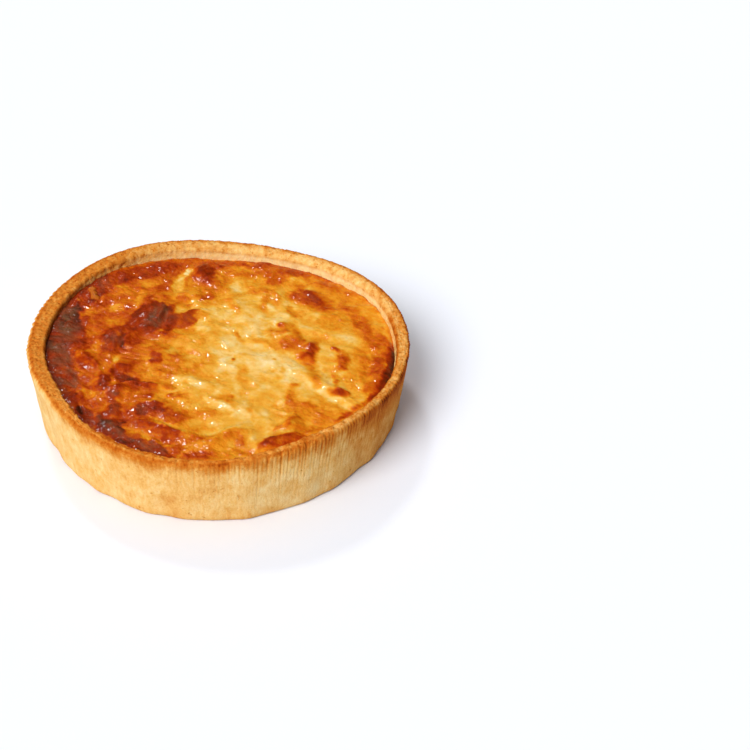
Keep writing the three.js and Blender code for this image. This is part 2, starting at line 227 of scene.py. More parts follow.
    # centre
    (24.4, 4.8, 6, 3.8, 12, 58, 40), (14, 6, 4, 2.2, 10, 32), (24.6, 14.6, 3, 2, 60, 40),
    (26, 11.6, 2.6, 1.4, 110, 51), (29, -2.4, 3, 1.9, 130, 61, 45), (20.8, 15, 1.9, 1.3, 110, 67, 45),
    (17.6, 11.6, 3, 2, 30, 35), (32, 1, 5.2, 2.2, 88, 69, 35), (32, 2.6, 2.2, 1.2, 80, 80),
    (13.6, 15.4, 4.4, 2.6, 20, 10), (32.8, -11, 8, 1.8, 102, 43), (6.4, 8.4, 2.6, 0.8, 120, 38),
    (9.6, -13, 7, 1.7, 96, 32), (5.8, -5, 1.1, 0.6, 80, 64), (27, -18.6, 1.3, 0.8, 20, 42),
    # The strands at 36.5, -22.5 and 5.5, -32 are pale strands of cheese with a painted highlight along them.
    (19.5, -4.6, 0.7, 0.6, 0, 46), (36.5, -22.5, 9, 1, -42, 3), (5.5, -32, 5.4, 1, -36, 6),
    # The streak at -9, -17.8 is a pale strand of cheese with a painted highlight along it.
    (-9, -17.8, 5, 0.8, -14, 19), (22, -12, 3, 0.9, 80, 25), (13, -31.5, 4, 0.8, 88, 30),
    (8.6, -2.6, 1.6, 1.2, 0, 22),
    # darker touches
    (27, 33.5, 4.2, 2.4, -42, 68, 40), (22, 12, 3, 2.2, 40, 44), (33, 11, 6, 2.2, -15, 30),
    (31, -5, 2.4, 2, 90, 52), (10.5, -18, 5, 2.4, -50, 30), (-39, -24, 3, 1.6, -20, 66),
    (-24, 10, 3.6, 1.6, 20, 72), (-46, 28.5, 3.4, 2.6, 60, 82), (-10.5, 43, 1.6, 1.6, 0, 64),
    (-16.5, -37.5, 2.4, 1.4, -10, 62), (-44.5, -11, 2.4, 1.4, -55, 74), (-15.5, -21, 3, 1.8, -30, 46),
    # lighter touches
    (47, -25, 4.5, 2.4, 60, 16), (-23, -48.6, 3, 1.4, -30, 52), (-14, -1.6, 3.4, 1.6, 10, 28),
    # The patch at -4, -20.6 is a painted highlight where fat glints.
    (-8, -8, 3.2, 2.4, 30, 27), (-4, -20.6, 3, 1.8, -20, 13), (-48, 16.5, 3.2, 1.4, 100, 54),
    (-17.5, -29.5, 2.4, 1.5, 0, 36), (-31, -9, 2.6, 1.8, 0, 50), (-22, 28, 4, 1.8, -40, 42),
    (22, 40, 2.2, 4, -20, 27), (11.5, 44, 2, 2.6, 0, 30), (43.5, 8, 3.6, 3, 0, 6),
    (30.5, 20, 3, 2.2, 60, 14), (15, -37.5, 7, 2.6, 0, 10), (3, -44.6, 7, 2, 22, 22),
    (21, -45.6, 5, 1.3, 34, 30), (52, -14, 4, 1.6, 75, 40), (18, -12, 2.8, 2, 0, 5),
]
CREAM_PATCH = 20  # browning where no patch lies
USUAL_SOFTNESS = 50

# Spots where drops of fat glisten
WET_SPOTS = [
    (-28.4, 34.4, 2.7, 1.1, -65), (-21.6, 39.8, 1.5, 1, -60), (-14, 47.2, 3, 1.6, 80),
    (-11, 42, 1.8, 1.4, 0), (-6.6, 41.4, 1.2, 1.1, 0), (-11, 38.4, 1.2, 1, 60), (-14, 35, 2, 1.4, -60),
    (-9, 35.6, 1.9, 1.2, -40), (-6, 36.6, 1.4, 1.2, 0), (-7, 29, 2.2, 1.6, -60), (-13, 26, 1.8, 1.2, 40),
    (-6.2, 21, 1.3, 1, 80), (-21, 5.8, 3, 1.4, 10), (-18.8, 6.3, 1, 1, 0), (-28, 2.4, 1.4, 1.1, 0),
    (-41.3, 12, 1.3, 1, 90), (-39.2, 11.2, 1.4, 0.9, -60), (-46.5, 22.6, 1.1, 0.9, 80),
    (-9, 4.8, 1.8, 1.4, 90), (-30.3, 15.4, 1, 0.9, 0), (-26.2, 23, 1, 1, 0), (-35.8, -3, 1.9, 1, 90),
    (-42.3, -11.8, 2.6, 1.5, -55), (-39.5, -16, 1, 0.9, 0), (-31.5, -26, 3.8, 2.6, 60),
    (-29.2, -22.8, 1.6, 1.6, 0), (-36.5, -24.6, 1.2, 1, 0), (-24, -36.8, 1.4, 1.1, -50),
    (-22, -38.6, 2.6, 0.9, -45), (-26.2, -41.6, 1.6, 0.9, -60), (-18, -46.2, 1.4, 1.2, 0),
    (-12.3, -47.7, 2, 1.3, -30), (-10.8, -49, 1.1, 1, 0), (-6, -48.4, 1.4, 1, 90),
    (-15, -41.2, 1.6, 1, -25), (-6.8, -52, 2, 1.2, 110), (-12.5, -16.3, 2.4, 1, 5),
    (-14, -18, 1.3, 0.9, 90), (-6, -19.5, 2.4, 1, -15), (-8, -22, 1.3, 1.2, 0), (-7.8, -28, 1.5, 1, 60),
    (-11.7, -31.4, 1.3, 0.9, 80), (-5.6, -32, 1.4, 0.9, 0), (-20.7, -15.2, 1, 0.9, 0),
    (-18.3, -12.3, 1, 0.9, 90), (0.6, -27, 2, 1, -45), (4.2, -31.2, 4.6, 1.2, -38), (3, -33, 2.4, 1, -20),
    (9, -33.6, 1.6, 0.9, -30), (23.6, -32, 1.4, 1.2, 90), (37.4, -21.3, 2.4, 1.2, -35),
    (41, -23.6, 2.3, 1.2, -35), (46, -24, 1.8, 1, -20), (53, -16, 2.6, 1.3, 60), (50.6, -2.6, 1.6, 0.9, 0),
    (22, -43.8, 1.4, 1.1, 0), (22, -50, 3, 0.9, 6), (1, -52, 1.2, 1, 0), (7.6, -52.8, 1.4, 1.1, 60),
    (46.6, -14, 1.2, 1, 0), (38.4, 23.6, 1.9, 1.2, -60), (24, 45, 1.6, 1.1, 0), (14.5, 40, 1.6, 1, 90),
    (0, 43.6, 1.3, 0.9, 0), (-4, 36, 1.2, 1, 0), (33, 20, 1.4, 1, 80),
]

# Dull films of burnt milk, their grey-brown partly a painted sheen, with the strength
FILMS_AND_SHEEN = [
    (-53, 12, 14, 6, 94, 1), (-53, -6, 12, 5, 104, 1), (-49, -18, 10, 5, 112, 1), (-22, 18, 9, 4, 70, 1),
    (-14, 17, 5, 3, 12, 0.6), (-36, 3, 6, 4, 65, 0.5), (-44, 36, 7, 4, 60, 0.5),
    (-31.5, -34, 5, 2.6, 95, 0.5), (-28, -46, 9, 4, -38, 0.6), (-17, -54, 7, 3.6, -28, 0.9),
    (-10, -37, 5, 2, -18, 0.5), (-23, -35, 3, 3, 0, 0.6), (30, 33, 6, 2.4, -42, 0.3),
    (23, 7, 5, 3, 6, 0.5), (-29, -17, 3, 1.6, 0, 0.7), (-13, -4, 3, 1.4, 10, 0.6),
    (-38, -39, 5, 3, -50, 0.5), (-32, -26, 3.4, 2.4, 58, 0.7),
]

# Flakes of pastry that fell on the skin
FALLEN_FLAKES = [(-46.4, 32, 2.4, 1.2, -76), (-45, 28.4, 2.6, 1.2, -70), (-50.4, 26.8, 0.9, 0.5, -40)]

# Wrinkles, with the height, or minus the depth, in hundredths
WRINKLES = [
    # on the burnt blister and the lump beside it
    (-22, 18, 6, 1.3, 72, 40), (-19.5, 18, 6, 1, 85, -48), (-17.8, 17, 4, 1, 110, 24),
    (-24.4, 19, 5, 1, 75, -36), (-26.5, 21, 4, 1.2, 60, 28), (-21.6, 17.6, 4.6, 0.7, 78, 64),
    (-25, 12, 5, 1.2, 45, 32), (-27, 14.6, 5, 1, 45, -32), (-33, 6, 5, 1.1, 80, -48),
    (-35, 3, 4, 1.4, 70, 40), (-30, 8, 4, 1.3, 50, 32), (-32.6, 1.3, 1.2, 1, 90, -40),
    (-38, 6, 4, 1.4, 80, 32),
    # at the left
    (-42.5, -8.8, 5, 1.4, -52, 40), (-38.6, -11.5, 4, 1, -60, -40), (-35, -12.6, 4.4, 1.3, 104, 40),
    (-33.5, -12, 4, 0.9, 100, -40), (-30, -17.8, 5, 1, -10, -48), (-24, -20.6, 6, 1.2, -8, 36),
    (-24, -18.6, 5, 1, -8, -24), (-33.5, -20.5, 3, 1, 85, -40), (-36.6, -20, 3.6, 1.4, 85, 40),
    (-31.6, -34, 5, 1.6, 95, 40), (-28.8, -33, 5, 1, 90, -40), (-42.3, -35.6, 2.4, 0.8, -66, -64),
    (-52, -8, 7, 0.9, -55, -24), (-50, -14, 7, 0.9, -48, -24), (-48, -20, 6, 0.9, -40, -24),
    (-50, 3, 6, 1, -35, 24), (-46, 30, 6, 1.1, -70, 24),
    # at the front left
    (-9, -17.6, 6, 1.1, -16, 28), (-14, -44.3, 7, 1.5, -22, 40), (-13.5, -42, 5, 1, -26, -32),
    (-15, -49.6, 6, 1.2, -32, -40), (-13, -53.4, 6, 0.9, -56, -48), (-10, -37, 5, 1.4, -18, 32),
    (-20, -29.2, 6, 1.1, -15, -32), (-30, -43, 5, 1.1, 20, 32), (-27, -47, 5, 1.1, -38, 32),
    (-22, -41, 5, 1, -35, 24),
    # at the front
    (6, -46, 8, 1.2, 45, 48), (4.2, -43.4, 8, 1.2, 45, -32), (22.4, -47.4, 6, 1.6, 28, 40),
    (20.4, -45, 6, 1.1, 36, -40), (25.4, -39.6, 6, 1.4, 52, 32), (22.8, -38, 6, 1.1, 52, -32),
    (4, -31, 6, 1.3, -38, 36), (5.6, -29, 6, 1.6, -38, -16), (0, -52, 6, 1.2, 10, 24),
    # at the right
    (39, -22.6, 7, 1.4, -38, 40), (34, -14, 6, 1.6, -50, 16), (36.4, -9, 8, 1.8, -60, -8),
    (29, -14, 7, 1.6, -55, 12), (51.2, -9, 8, 1, 85, -32), (31.5, 3, 4, 1.4, 84, 32),
    (26, 10, 4, 1.4, 110, 32), (20.8, 15, 2, 1.4, 110, 24), (38, 10, 8, 1.6, -25, 28),
    (37, 7.6, 8, 1.6, -25, -9.6),
    # at the back
    (-8.5, 47, 6, 1.8, 84, 32), (-11.8, 46, 6, 1.1, 80, -36), (-18.6, 30.6, 5.6, 1.1, -4, 32),
    (-18.6, 28.4, 5, 1.1, -4, -24), (-10, 21.4, 4, 1.2, 35, 28), (-29, 33.4, 4, 1.1, -65, 32),
    (11.4, 37.4, 4, 2.6, -10, 32), (12.4, 45, 5, 1.2, 75, -32), (16, 46, 5, 1.8, 75, 32),
    (3, 46.4, 4, 1.2, 25, 28), (-17, 38, 8, 1.6, 84, -24), (20, 27, 7, 1.4, 110, 24),
]


# Numbers over many points at once

def waves(crests, angle):
    return sum(size * np.cos(count * angle - radians(direction)) for count, size, direction in crests)


def lerp(start, end, share):
    return start + (end - start) * share


def ease(low, high, value):
    """0 below low, 1 above high, and smooth between."""
    share = np.clip((value - low) / (high - low), 0, 1)
    return share * share * (3 - 2 * share)


def bell(distance):
    """1 at no distance, falling away softly past a distance of 1."""
    return np.exp(-distance ** 2)


def away(angle, direction):
    """How many degrees an angle is from a direction, either way."""
    return np.abs((np.degrees(angle) - direction + 180) % 360 - 180)


def near(angle, direction, half_width):
    """1 in a direction given in degrees, falling away to either side."""
    return bell(away(angle, direction) / half_width)


def at_places(places, angle):
    return sum(size * near(angle, direction, half_width) for direction, half_width, size in places)


def between(angle, start, end, fade):
    """1 from one direction round to another, with soft ends, and 0 elsewhere."""
    half = ((end - start) % 360) / 2
    return 1 - ease(half - fade, half + fade, away(angle, start + half))


def on_circle(angle, radius=RIM_RADIUS):
    return radius * np.cos(angle), radius * np.sin(angle)


def scattered(i, j, k, seed):
    """A repeatable random whole number for each corner of a grid."""
    mask = 0xFFFFFFFF
    n = (i * 374761393 + j * 668265263 + k * 2147483647 + seed * 974634777) & mask
    n = ((n ^ (n >> 13)) * 1274126177) & mask
    n = ((n ^ (n >> 16)) * 2246822519) & mask
    return (n ^ (n >> 13)) & mask


def measured(place, size):
    """Places of two or three coordinates as three, with that many millimetres to the unit."""
    sizes = np.broadcast_to(size, len(place))
    scaled = [coordinate / unit for coordinate, unit in zip(place, sizes)]
    return np.broadcast_arrays(*scaled, *[0.0] * (3 - len(place)))


def noise(place, size, seed):
    """Smooth gradient noise, about -1 to 1, with lumps of that size."""
    place = measured(place, size)
    corner = [np.floor(v).astype(np.int64) for v in place]
    inside = [v - c for v, c in zip(place, corner)]
    blend = [t ** 3 * (t * (t * 6 - 15) + 10) for t in inside]
    total = np.zeros(place[0].shape)
    for step in np.ndindex(2, 2, 2):
        n = scattered(*[c + s for c, s in zip(corner, step)], seed)
        weight = np.ones(total.shape)
        slope = np.zeros(total.shape)
        for axis in range(3):
            weight *= blend[axis] if step[axis] else 1 - blend[axis]
            slope += (((n >> (10 * axis)) & 1023) / 511.5 - 1) * (inside[axis] - step[axis])
        total += weight * slope
    return 1.4 * total


def fractal(place, size, seed, octaves=3):
    """Noise with finer and finer lumps, each half as high as the last."""
    size = np.asarray(size)
    return sum(noise(place, size / 2 ** k, seed + 17 * k) / 2 ** k for k in range(octaves))


def warped(x, y, shift, size, seed):
    """Places shifted by up to that much, in swirls of that size, so that what lies there bends."""
    return x + shift * noise((x, y), size, seed), y + shift * noise((x, y), size, seed + 1)


def crumbs(place, size, seed):
    """Rounded crumbs of that size: 1 on their crowns, towards 0 in the creases between."""
    place = measured(place, size)
    corner = [np.floor(v).astype(np.int64) for v in place]
    nearest = np.full(place[0].shape, 9.0)
    for step in np.ndindex(3, 3, 3):
        cell = [c + s - 1 for c, s in zip(corner, step)]
        n = scattered(*cell, seed)
        distance = sum((v - c - ((n >> (10 * axis)) & 1023) / 1023) ** 2
                       for axis, (v, c) in enumerate(zip(place, cell)))
        nearest = np.minimum(nearest, distance)
    return 1 - np.clip(1.5 * nearest, 0, 1)


# The case's shape

def crags(angle):
    """-1 to 1: the broken edge of the rim."""
    large = np.sin(37 * angle + 2 * np.sin(9 * angle))
    middle = np.sin(83 * angle + 1.5 * np.sin(7 * angle + 1))
    small = np.sin(131 * angle + 2.4 * np.sin(10 * angle + 4))
    return 0.45 * large + 0.33 * middle + 0.22 * small


def rim_height(angle):
    return RIM_HEIGHT + waves(RIM_RISE, angle)


def outer_radius(angle, height):
    share = height / RIM_HEIGHT
    foot = waves(FOOT_BUMPS, angle) * (1 - share)
    return lerp(FOOT_RADIUS, RIM_RADIUS, share) + waves(OVALNESS, angle) + foot


def wall_thickness(angle):
    return WALL_THICKNESS + waves(THICKNESS_CHANGE, angle) - at_places(THINNER_WALL, angle)


def inner_radius(angle, height):
    at_rim = RIM_RADIUS + waves(OVALNESS, angle) - wall_thickness(angle)
    at_floor = FOOT_RADIUS + waves(OVALNESS, angle) - WALL_THICKNESS_LOW
    share = (height - FLOOR_THICKNESS) / (RIM_HEIGHT - FLOOR_THICKNESS)
    return lerp(at_floor, at_rim, share)


def edge_height(angle):
    return EDGE_HEIGHT + waves(EDGE_RISE, angle) + at_places(RAISED_EDGE, angle)


# The skin's shape and browning

def slanted(x, y, direction):
    """Places measured along a direction, in degrees, and across it."""
    turn = radians(direction)
    return x * cos(turn) + y * sin(turn), y * cos(turn) - x * sin(turn)


def across_oval(x, y, oval):
    """How far points are from a slanted oval's middle: 1 on its outline."""
    middle_x, middle_y, length, width, direction = oval
    along, across = slanted(x - middle_x, y - middle_y, direction)
    return np.hypot(along / length, across / width)


def ridges(x, y, rows):
    """Slanted oval lumps and dips, a little bent."""
    x, y = warped(x, y, 1.5, 9, 65)
    return sum(rise * bell(across_oval(x, y, oval)) for *oval, rise in rows)


def smooth_skin(x, y):
    """The filling's top without its finest relief."""
    angle = np.arctan2(y, x)
    share = np.hypot(x, y) / inner_radius(angle, EDGE_HEIGHT)
    height = lerp(EDGE_HEIGHT, edge_height(angle), share ** 3) + DOME_HEIGHT * (1 - share ** 2)
    height += ridges(x, y, FOLDS)
    ripple = np.sin(x / 3.1 + 1.7 * np.sin(y / 6.3)) * np.sin(y / 3.7 + 1.4 * np.sin(x / 7.9))
    return height + 0.22 * ripple


def shreds(x, y, count, seed):
    """Half-melted shreds of grated cheese: 0 between them, 1 along their crests."""
    draw = np.random.default_rng(seed)
    crest = np.zeros(np.shape(x))
    for _ in range(count):
        radius = SHRED_REACH * np.sqrt(draw.random())
        middle_x, middle_y = on_circle(TURN * draw.random(), radius)
        direction = FLOW_DIRECTION + draw.normal(0, 42) + 0.4 * middle_x
        length = draw.uniform(2.5, 7)
        width = draw.uniform(0.6, 1.4)
        bend = draw.normal(0, 0.03)
        size = draw.uniform(0.4, 1)
        along, across = slanted(x - middle_x, y - middle_y, direction)
        ends = ease(0.4 * length, length, np.abs(along))
        ridge = bell((across - bend * along ** 2) / width) * (1 - ends)
        crest = np.maximum(crest, size * ridge)
    return crest


def flow(x, y):
    """Places measured along and across the way the cheese ran, wandering widely."""
    along, across = slanted(x, y, FLOW_DIRECTION)
    return along + 7 * noise((x, y), 23, 71), across + 8 * noise((x, y), 20, 72)


def folds(x, y):
    """The small folds of the skin, about -1 in the dips to 1 on the crests."""
    along, across = flow(x, y)
    return fractal((along, across), (8.5, 6.5), 74, 2)


def shrivels(x, y):
    """Rounded lumps with sharp furrows between them: 0 in the furrows to about 1."""
    warped_x, warped_y = warped(x, y, 1.6, 7, 77)
    return np.clip(2 * np.abs(fractal((warped_x, warped_y), (8, 6.5), 76)), 0, 1.2)


def curls(x, y):
    """Fine curling creases: 1 along each crease, 0 between them, strong in some places only."""
    warped_x, warped_y = warped(x, y, 0.8, 3, 91)
    crease = 1 - np.clip(3 * np.abs(fractal((warped_x, warped_y), (3.6, 3.0), 93, 2)), 0, 1)
    return crease * ease(-0.3, 0.3, noise((x, y), 6, 94))


def browning(x, y, fold, pale_shred, brown_shred, curl):
    """How brown the skin is, 0 cream to 1 charred, with a painted shadow and a few painted highlights."""
    mellow = ease(-10, 16, x)
    ragged = lerp(1.0, 0.6, mellow)
    warped_x = x + 0.8 * noise((x, y), 6, 3) + ragged * fractal((x, y), 2.4, 4)
    warped_y = y + 0.8 * noise((x, y), 6, 5) + ragged * fractal((x, y), 2.4, 6)
    uneven = np.clip(1 + 1.5 * noise((x, y), 5, 9), 0.3, 1.8)
    level = np.full(np.shape(x), CREAM_PATCH / 100)
    for patch in PATCHES:
        oval = patch[:5]
        target = patch[5] / 100
        soft = (patch[6] if len(patch) > 6 else USUAL_SOFTNESS) / 100
        crisp = lerp(1 - 0.35 * ease(0.4, 0.7, target), 1.4, mellow)
        spread = crisp * uneven * soft + 0.2 / min(oval[2:4])
        mask = 1 - ease(1 - spread, 1 + spread, across_oval(warped_x, warped_y, oval))
        level = lerp(level, target, mask)
    level = lerp(level, lerp(0.28, level, 0.85), mellow) + 0.05 * ease(20, 40, x)
    blotch = fractal((x, y), 4.5, 11)
    fine = fractal((x, y), 1.5, 12, 2)
    busy = ease(0.25, 0.5, level)
    charred = ease(0.72, 0.9, level)
    level += lerp(0.12, 0.07, busy) * blotch + lerp(0.04, 0.07, busy) * fine
    level += lerp(-0.08, 0.05, busy) * fold + 0.10 * busy * (shrivels(x, y) - 0.5)
    along, across = flow(x, y)
    streak = fractal((along, across), (5, 1.3), 13, 2)
    level += curl * lerp(0.05, 0.08, busy) + lerp(0.02, 0.07, busy) * streak
    return level - 0.09 * pale_shred * (1 - charred) + 0.09 * brown_shred * busy


def strongest(x, y, rows, full, none, ragged=0.0):
    """The strongest of some ovals at each point: full to one share of an oval, none past another."""
    total = 0.0
    for row in rows:
        strength = row[5] if len(row) > 5 else 1
        total = np.maximum(total, strength * (1 - ease(full, none, across_oval(x, y, row[:5]) + ragged)))
    return total


# Meshes

def loft(first_pole, rings, last_pole):
    """Points and faces of a closed skin: a pole on the axis, rings out and back, and a pole again."""
    points = [np.array([[0, 0, first_pole]]), *rings, np.array([[0, 0, last_pole]])]
    starts = np.cumsum([1] + [len(r) for r in rings])
    last = int(starts[-1])
    faces = []
    n = len(rings[0])
    faces += [(0, 1 + (i + 1) % n, 1 + i) for i in range(n)]
    for k in range(len(rings) - 1):
        n, m = len(rings[k]), len(rings[k + 1])
        low, high = int(starts[k]), int(starts[k + 1])
        if n == m:
            faces += [(low + i, low + (i + 1) % n, high + (i + 1) % n, high + i) for i in range(n)]
            continue
        i = j = 0
        while i < n or j < m:
            if (i + 1) * m <= (j + 1) * n:
                faces.append((low + i % n, low + (i + 1) % n, high + j % m))
                i += 1
            else:
                faces.append((low + i % n, high + (j + 1) % m, high + j % m))
                j += 1
    n = len(rings[-1])
    low = int(starts[-2])
    faces += [(low + i, low + (i + 1) % n, last) for i in range(n)]
    return np.concatenate(points), faces


def add_object(name, data):
    thing = bpy.data.objects.new(name, data)
    bpy.context.collection.objects.link(thing)
    return thing


def make_piece(name, points, faces, attributes, material):
    """A mesh object from points in millimetres, with a number for each point in each attribute."""
    mesh = bpy.data.meshes.new(name)
    mesh.from_pydata((points * MM).tolist(), [], faces)
    for attribute, values in attributes.items():
        layer = mesh.attributes.new(attribute, "FLOAT", "POINT")
        layer.data.foreach_set("value", np.asarray(values, np.float32))
    mesh.shade_smooth()
    mesh.materials.append(material)
    return add_object(name, mesh)


def ring_points(angle, radius, height):
    return np.stack([*on_circle(angle, radius), np.broadcast_to(height, angle.shape)], 1)


def angles(count):
    return np.arange(count) / count * TURN


# The case

class Grooves:
    """The fine upright grooves that the pleated tray presses into the wall, at uneven places."""

    def __init__(self, angle, seed=9):
        draw = np.random.default_rng(seed)
        places = []
        place = 0.0
        while place < TURN:
            closer = float(between(place, 284, 40, 14))
            places.append(place)
            place += draw.uniform(1.25, 1.95) * lerp(1.0, 0.84, closer) / RIM_RADIUS
        places = np.array(places)
        closer = between(places, 284, 40, 14)
        count = len(places)
        clear = (1 - 0.92 * near(places, SMOOTH_SIDE, 40)) * lerp(0.5, 1.0, between(places, 250, 20, 10))
        self.depth = draw.uniform(0.3, 1, count) * clear
        self.reach = draw.uniform(4, 9, count) + draw.choice([0, 9], count, p=[0.7, 0.3]) + 5 * closer
        width = draw.uniform(0.22, 0.32, count) + 0.08 * closer
        off = (angle[None, :] - places[:, None] + pi) % TURN - pi
        self.shape = bell(off * RIM_RADIUS / width[:, None])

    def at(self, below_rim):
        """0 between the grooves to 1 in the deepest, this far below the rim."""
        fade = self.depth * bell(below_rim / self.reach)
        return fade @ self.shape


def wall_toast_and_shade(angle, height, groove):
    """Outer wall toasting: pale below, golden under the rim; painted shade darkens it towards the right."""
    top = rim_height(angle) - height
    place = on_circle(angle)
    right = between(angle, 318, 40, 16)
    under_rim = between(angle, 262, 20, 14)
    ribbed = between(angle, 284, 20, 14)
    torn = between(angle, 220, 262, 10)
    depth = 1.3 + 2.6 * under_rim + 2.8 * torn + 1.6 * ribbed
    depth = depth * (1 + 0.2 * fractal(place, 7, 34))
    band = bell(top / depth) * (0.24 + 0.10 * under_rim + 0.12 * torn - 0.06 * right)
    foot = 0.12 * bell(height / 1.5)
    mottle = 0.14 * fractal((*place, height), (7, 7, 6), 35, 4)
    deep = (0.08 + 0.14 * under_rim + 0.14 * ribbed) * groove * bell(top / 14) - 0.08 * ribbed
    # Painted shade: the right of the wall, turned away from the light, is made darker.
    shaded = right * (0.26 + 0.14 * height / RIM_HEIGHT) + 0.06 * between(angle, 340, 40, 12)
    return 0.15 + shaded + 0.05 * between(angle, 240, 318, 10) + band + foot + mottle + deep


def teeth(angle):
    """-0.5 to 0.5: the small scallops of the rim's outer edge, clear at the left."""
    scallop = np.abs(np.sin(78 * angle + 1.8 * np.sin(7 * angle) + 1.1 * np.sin(17 * angle + 2)))
    uneven = 0.6 + 0.8 * noise(on_circle(angle, 9), 1, 38)
    return (scallop - 0.5) * uneven * between(angle, 146, 208, 10)


def wall_ring(angle, share, grooves):
    """One ring up the outer wall, from the foot's rounding at 0 to the shoulder at 1."""
    top = rim_height(angle) - MEAN_SHOULDER_DROP - waves(SHOULDER_DROP, angle)
    height = lerp(FOOT_ROUNDING, top, share)
    place = (*on_circle(angle), height)
    below = RIM_HEIGHT * (1 - share)
    worn = np.clip(0.8 + 0.8 * noise(place, (2.4, 2.4, 2.8), 39), 0, 1.3)
    groove = worn * grooves.at(below)
    lumps = 0.16 * noise(place, (9, 9, 7), 32) + 0.06 * noise(place, (3.5, 3.5, 5), 36)
    grain = fractal(place, (1.1, 1.1, 2.4), 33, 2)
    edge = 0.6 * teeth(angle) + 0.22 * fractal(place[:2], 3.4, 37) - 0.04
    radius = outer_radius(angle, height) - PLEAT_DEPTH * groove + lumps + 0.04 * grain
    radius += edge * bell(below / 1.6)
    toast = wall_toast_and_shade(angle, height, groove) + 0.05 * grain
    return radius, height, toast


def foot_ring(angle, share, grooves):
    """One ring round the foot's rounding, from the underside at 0 to the wall at 1."""
    turn = share * pi / 2
    radius, height, toast = wall_ring(angle, 0.0, grooves)
    radius -= FOOT_ROUNDING * (1 - sin(turn)) * 0.6
    height = height * (1 - cos(turn))
    return radius, height, toast + 0.12 * (1 - share)


def rim_ring(angle, share, grooves):
    """One ring over the rim, from its shoulder at 0 to the lip over the filling at 1."""
    front = between(angle, 258, 306, 8)
    right = between(angle, 306, 20, 10)
    back = between(angle, 20, 124, 14)
    torn = between(angle, 216, 258, 6)
    left = between(angle, 124, 216, 10)
    place = on_circle(angle)

    lip = inner_radius(angle, rim_height(angle) - LIP_DEPTH)
    lip += lerp(0.4, 0.85, torn) * fractal(place, 3.2, 41) + 0.2 * torn
    lip -= 0.45 * between(angle, 150, 212, 10)
    outside, _, wall = wall_ring(angle, 1.0, grooves)
    radius = lerp(outside, lip, share)

    shoulder = MEAN_SHOULDER_DROP + waves(SHOULDER_DROP, angle)
    inward = 0.88 - 0.4 * back
    drop = shoulder * np.clip(1 - share / 0.28, 0, 1) ** 2
    drop += lerp(0.8, 1.6, back) * np.clip((share - inward) / (1 - inward), 0, 1) ** 2
    x, y = on_circle(angle, radius)
    wide = fractal((x, y), 3, 43)
    crumb = (crumbs((x + 0.39 * wide, y), 1.3, 44) - 0.6) * (1 - 0.5 * back)
    at_edge = 1 - ease(0.1, 0.4, share)
    broken = ease(0.15, 0.27, fractal((x, y), 1.7, 46))
    step_at = 0.34 + 0.2 * fractal(place, 3, 45, 2)
    flake = ease(-0.12, 0.12, share - step_at)
    over = sin(pi * min(max(share, 0.16), 0.84))
    height = rim_height(angle) - drop + 0.8 * CRAG_HEIGHT * crags(angle + share) * over * (1 - 0.5 * left)
    height += (0.3 * crumb * (1 - 0.5 * torn) + 0.34 * wide * (1 + front)) * over
    height = height - 0.45 * torn * (1 - flake) - 0.4 * broken * at_edge * (1 - 0.6 * left - torn)
    height = np.minimum(height, rim_height(angle) + 0.2)

    outer_edge = 1 - ease(0.06, 0.40, share + 0.12 * wide)
    patchy = ease(-0.2, 0.5, fractal((x, y), 4, 47, 2))
    brown_and_shade = 0.40 - 0.10 * crumb + 0.12 * wide + 0.10 * left + 0.06 * front - 0.02 * right
    brown_and_shade += outer_edge * (0.14 - 0.16 * right + 0.04 * left) + 0.10 * broken * at_edge
    # The term with right is painted shade: the rim's inner edge at the right is darkened for the shadowed
    # gap beside the skin.
    brown_and_shade += 0.10 * front * patchy + 0.3 * right * ease(0.72, 0.95, share)
    brown_and_shade -= between(angle, 20, 112, 12) * (0.17 * ease(0.25, 0.7, share) - 0.12 * patchy)
    flake_brown = 0.41 + 0.12 * patchy + 0.2 * between(angle, 236, 262, 6) * ease(0.4, 0.7, share)
    brown_and_shade = lerp(brown_and_shade, lerp(0.64 + 0.1 * wide, flake_brown, flake) - 0.1 * crumb, torn)
    toast = lerp(wall, brown_and_shade, ease(0, 0.2, share))
    return radius, height, toast


def inside_ring(angle, share, grooves):
    """One ring down the inner wall, from the lip at 0 to below the filling's edge at 1."""
    radius, top, toast = rim_ring(angle, 1.0, grooves)
    height = lerp(top, edge_height(angle) - 1.6, share)
    smooth = inner_radius(angle, height)
    left = between(angle, 150, 212, 10)
    place = (*on_circle(angle, smooth), height)
    wide = fractal(place, (4, 4, 3), 52)
    back = between(angle, 20, 118, 14)
    crumb = (crumbs(place, (1.7, 1.7, 1.5), 51) - 0.6) * (1 - 0.6 * back)
    radius = lerp(radius, smooth, ease(0, 0.5, share) * (1 - left))
    radius -= (0.3 * crumb + 0.3 * wide) * sin(pi * share) * (1 - 0.6 * left)
    # Painted shade: a darker band on the inner wall just under the overhanging lip, at the back left.
    under_lip_shade_at = 0.3 + 0.12 * fractal(place[:2], 6, 54, 2)
    under_lip_shade = bell((share - under_lip_shade_at) / 0.2) * (0.7 + 0.5 * noise(place[:2], 5, 55))
    pale = 0.16 - 0.12 * back + 0.24 * under_lip_shade * between(angle, 98, 148, 10) + 0.4 * left
    toast = lerp(toast, pale, ease(0, 0.3, share))
    return radius, height, toast + 0.06 * wide - 0.08 * crumb


